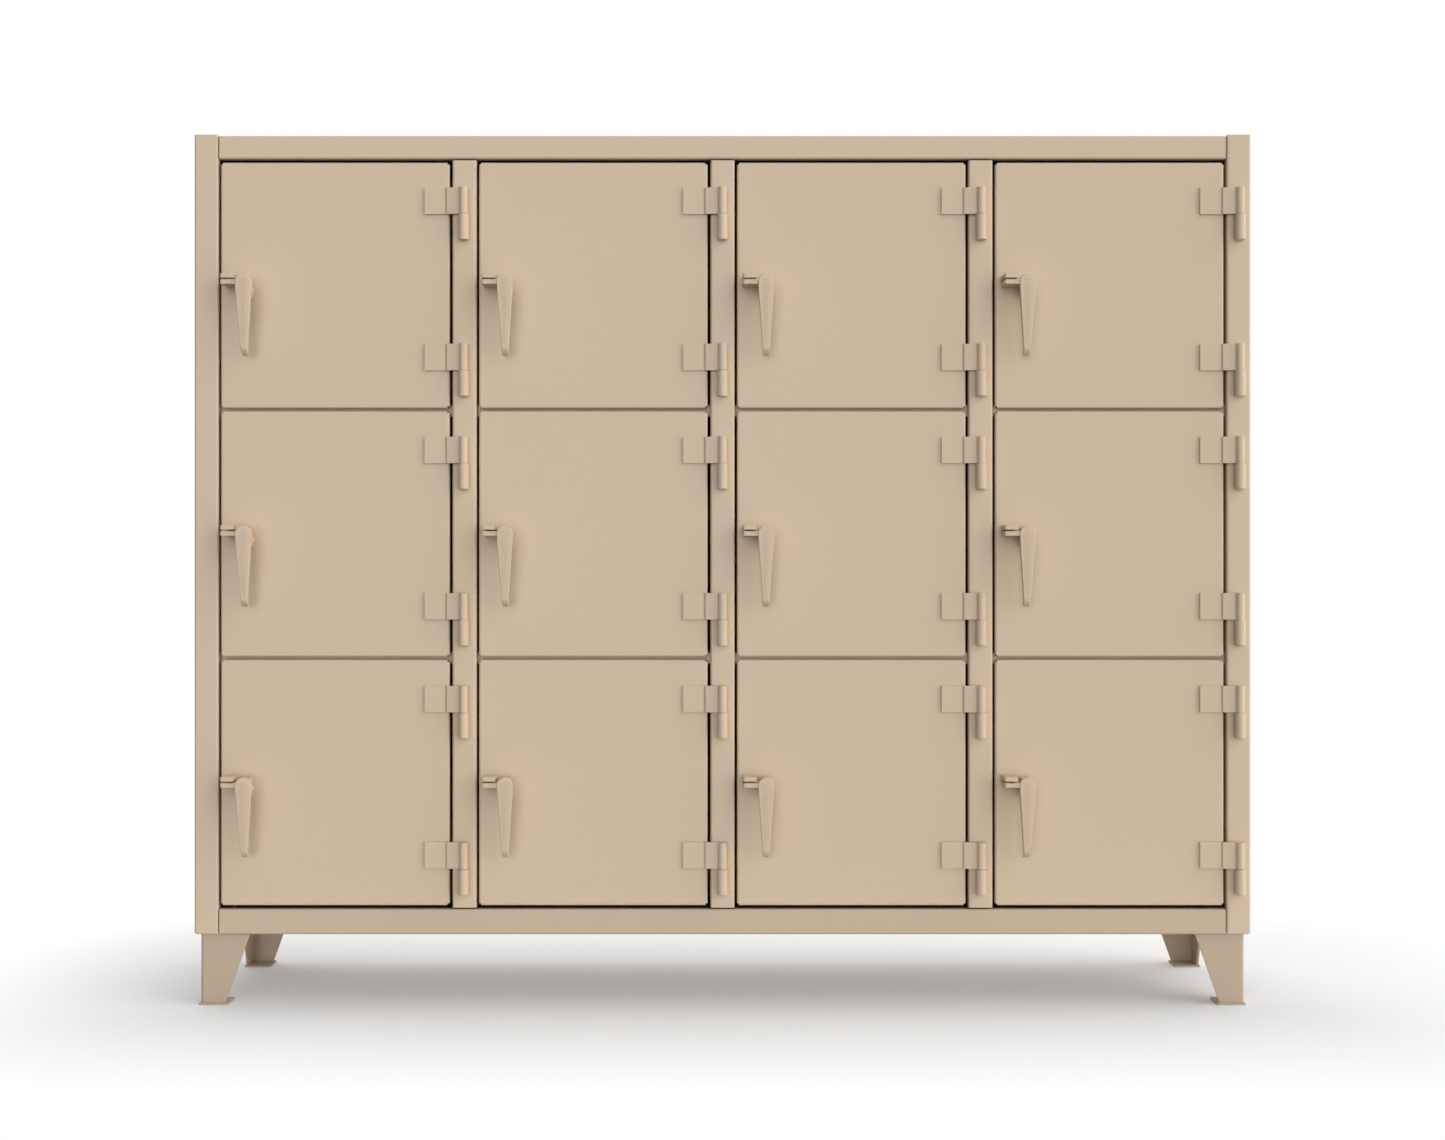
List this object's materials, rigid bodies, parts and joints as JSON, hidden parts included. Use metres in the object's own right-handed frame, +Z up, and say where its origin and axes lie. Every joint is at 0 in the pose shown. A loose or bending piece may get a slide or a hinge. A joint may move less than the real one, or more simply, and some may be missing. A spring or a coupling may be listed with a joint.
{
  "type": "locker cabinet",
  "caption": "Welded steel locker cabinet: rows of hinged doors with padlock lever handles, on tapered bolt-down legs.",
  "frame": {"origin": "on the floor, under the middle of the whole object with its handles", "axes": "+X to the right as seen from the front, +Y towards the back, +Z up; the doors face -Y"},
  "size_m": [2.218, 0.5132, 1.8288],
  "materials": {
    "body_paint": "satin powder coat, sand",
    "door_paint": "satin powder coat, sand",
    "handle_paint": "satin powder coat over a casting, sand",
    "leg_paint": "satin powder coat, sand",
    "latch_zinc": "zinc plated"
  },
  "bodies": {
    "cabinet": {"side_panel_left": "body_paint", "side_panel_right": "body_paint", "top_panel": "body_paint", "bottom_panel": "body_paint", "back_panel": "body_paint", "mullion_1": "body_paint", "partition_1": "body_paint", "mullion_2": "body_paint", "partition_2": "body_paint", "mullion_3": "body_paint", "partition_3": "body_paint", "leg_front_left": "leg_paint", "leg_rear_left": "leg_paint", "leg_front_right": "leg_paint", "leg_rear_right": "leg_paint", "shelf_top_1": "body_paint", "shelf_top_2": "body_paint", "shelf_top_3": "body_paint", "shelf_top_4": "body_paint", "shelf_middle_1": "body_paint", "shelf_middle_2": "body_paint", "shelf_middle_3": "body_paint", "shelf_middle_4": "body_paint"},
    "door_top_1": {"door_top_1": "door_paint"},
    "handle_top_1": {"handle_top_1": "handle_paint", "latch_cam_top_1": "latch_zinc"},
    "door_top_2": {"door_top_2": "door_paint"},
    "handle_top_2": {"handle_top_2": "handle_paint", "latch_cam_top_2": "latch_zinc"},
    "door_top_3": {"door_top_3": "door_paint"},
    "handle_top_3": {"handle_top_3": "handle_paint", "latch_cam_top_3": "latch_zinc"},
    "door_top_4": {"door_top_4": "door_paint"},
    "handle_top_4": {"handle_top_4": "handle_paint", "latch_cam_top_4": "latch_zinc"},
    "door_middle_1": {"door_middle_1": "door_paint"},
    "handle_middle_1": {"handle_middle_1": "handle_paint", "latch_cam_middle_1": "latch_zinc"},
    "door_middle_2": {"door_middle_2": "door_paint"},
    "handle_middle_2": {"handle_middle_2": "handle_paint", "latch_cam_middle_2": "latch_zinc"},
    "door_middle_3": {"door_middle_3": "door_paint"},
    "handle_middle_3": {"handle_middle_3": "handle_paint", "latch_cam_middle_3": "latch_zinc"},
    "door_middle_4": {"door_middle_4": "door_paint"},
    "handle_middle_4": {"handle_middle_4": "handle_paint", "latch_cam_middle_4": "latch_zinc"},
    "door_bottom_1": {"door_bottom_1": "door_paint"},
    "handle_bottom_1": {"handle_bottom_1": "handle_paint", "latch_cam_bottom_1": "latch_zinc"},
    "door_bottom_2": {"door_bottom_2": "door_paint"},
    "handle_bottom_2": {"handle_bottom_2": "handle_paint", "latch_cam_bottom_2": "latch_zinc"},
    "door_bottom_3": {"door_bottom_3": "door_paint"},
    "handle_bottom_3": {"handle_bottom_3": "handle_paint", "latch_cam_bottom_3": "latch_zinc"},
    "door_bottom_4": {"door_bottom_4": "door_paint"},
    "handle_bottom_4": {"handle_bottom_4": "handle_paint", "latch_cam_bottom_4": "latch_zinc"}
  },
  "joints": [
    {"name": "door_top_1_hinge", "type": "hinge", "parent": "cabinet", "child": "door_top_1", "pos_m": [-0.5418, -0.2122, 1.51253], "axis": [0, 0, 1], "range_deg": [0, 135]},
    {"name": "handle_top_1_turn", "type": "hinge", "parent": "door_top_1", "child": "handle_top_1", "pos_m": [-0.9932, -0.2006, 1.51253], "axis": [0, -1, 0], "range_deg": [0, 90]},
    {"name": "door_top_2_hinge", "type": "hinge", "parent": "cabinet", "child": "door_top_2", "pos_m": [0, -0.2122, 1.51253], "axis": [0, 0, 1], "range_deg": [0, 135]},
    {"name": "handle_top_2_turn", "type": "hinge", "parent": "door_top_2", "child": "handle_top_2", "pos_m": [-0.4514, -0.2006, 1.51253], "axis": [0, -1, 0], "range_deg": [0, 90]},
    {"name": "door_top_3_hinge", "type": "hinge", "parent": "cabinet", "child": "door_top_3", "pos_m": [0.5418, -0.2122, 1.51253], "axis": [0, 0, 1], "range_deg": [0, 135]},
    {"name": "handle_top_3_turn", "type": "hinge", "parent": "door_top_3", "child": "handle_top_3", "pos_m": [0.0904, -0.2006, 1.51253], "axis": [0, -1, 0], "range_deg": [0, 90]},
    {"name": "door_top_4_hinge", "type": "hinge", "parent": "cabinet", "child": "door_top_4", "pos_m": [1.0836, -0.2122, 1.51253], "axis": [0, 0, 1], "range_deg": [0, 135]},
    {"name": "handle_top_4_turn", "type": "hinge", "parent": "door_top_4", "child": "handle_top_4", "pos_m": [0.6322, -0.2006, 1.51253], "axis": [0, -1, 0], "range_deg": [0, 90]},
    {"name": "door_middle_1_hinge", "type": "hinge", "parent": "cabinet", "child": "door_middle_1", "pos_m": [-0.5418, -0.2122, 0.9906], "axis": [0, 0, 1], "range_deg": [0, 135]},
    {"name": "handle_middle_1_turn", "type": "hinge", "parent": "door_middle_1", "child": "handle_middle_1", "pos_m": [-0.9932, -0.2006, 0.9906], "axis": [0, -1, 0], "range_deg": [0, 90]},
    {"name": "door_middle_2_hinge", "type": "hinge", "parent": "cabinet", "child": "door_middle_2", "pos_m": [0, -0.2122, 0.9906], "axis": [0, 0, 1], "range_deg": [0, 135]},
    {"name": "handle_middle_2_turn", "type": "hinge", "parent": "door_middle_2", "child": "handle_middle_2", "pos_m": [-0.4514, -0.2006, 0.9906], "axis": [0, -1, 0], "range_deg": [0, 90]},
    {"name": "door_middle_3_hinge", "type": "hinge", "parent": "cabinet", "child": "door_middle_3", "pos_m": [0.5418, -0.2122, 0.9906], "axis": [0, 0, 1], "range_deg": [0, 135]},
    {"name": "handle_middle_3_turn", "type": "hinge", "parent": "door_middle_3", "child": "handle_middle_3", "pos_m": [0.0904, -0.2006, 0.9906], "axis": [0, -1, 0], "range_deg": [0, 90]},
    {"name": "door_middle_4_hinge", "type": "hinge", "parent": "cabinet", "child": "door_middle_4", "pos_m": [1.0836, -0.2122, 0.9906], "axis": [0, 0, 1], "range_deg": [0, 135]},
    {"name": "handle_middle_4_turn", "type": "hinge", "parent": "door_middle_4", "child": "handle_middle_4", "pos_m": [0.6322, -0.2006, 0.9906], "axis": [0, -1, 0], "range_deg": [0, 90]},
    {"name": "door_bottom_1_hinge", "type": "hinge", "parent": "cabinet", "child": "door_bottom_1", "pos_m": [-0.5418, -0.2122, 0.46867], "axis": [0, 0, 1], "range_deg": [0, 135]},
    {"name": "handle_bottom_1_turn", "type": "hinge", "parent": "door_bottom_1", "child": "handle_bottom_1", "pos_m": [-0.9932, -0.2006, 0.46867], "axis": [0, -1, 0], "range_deg": [0, 90]},
    {"name": "door_bottom_2_hinge", "type": "hinge", "parent": "cabinet", "child": "door_bottom_2", "pos_m": [0, -0.2122, 0.46867], "axis": [0, 0, 1], "range_deg": [0, 135]},
    {"name": "handle_bottom_2_turn", "type": "hinge", "parent": "door_bottom_2", "child": "handle_bottom_2", "pos_m": [-0.4514, -0.2006, 0.46867], "axis": [0, -1, 0], "range_deg": [0, 90]},
    {"name": "door_bottom_3_hinge", "type": "hinge", "parent": "cabinet", "child": "door_bottom_3", "pos_m": [0.5418, -0.2122, 0.46867], "axis": [0, 0, 1], "range_deg": [0, 135]},
    {"name": "handle_bottom_3_turn", "type": "hinge", "parent": "door_bottom_3", "child": "handle_bottom_3", "pos_m": [0.0904, -0.2006, 0.46867], "axis": [0, -1, 0], "range_deg": [0, 90]},
    {"name": "door_bottom_4_hinge", "type": "hinge", "parent": "cabinet", "child": "door_bottom_4", "pos_m": [1.0836, -0.2122, 0.46867], "axis": [0, 0, 1], "range_deg": [0, 135]},
    {"name": "handle_bottom_4_turn", "type": "hinge", "parent": "door_bottom_4", "child": "handle_bottom_4", "pos_m": [0.6322, -0.2006, 0.46867], "axis": [0, -1, 0], "range_deg": [0, 90]}
  ]
}
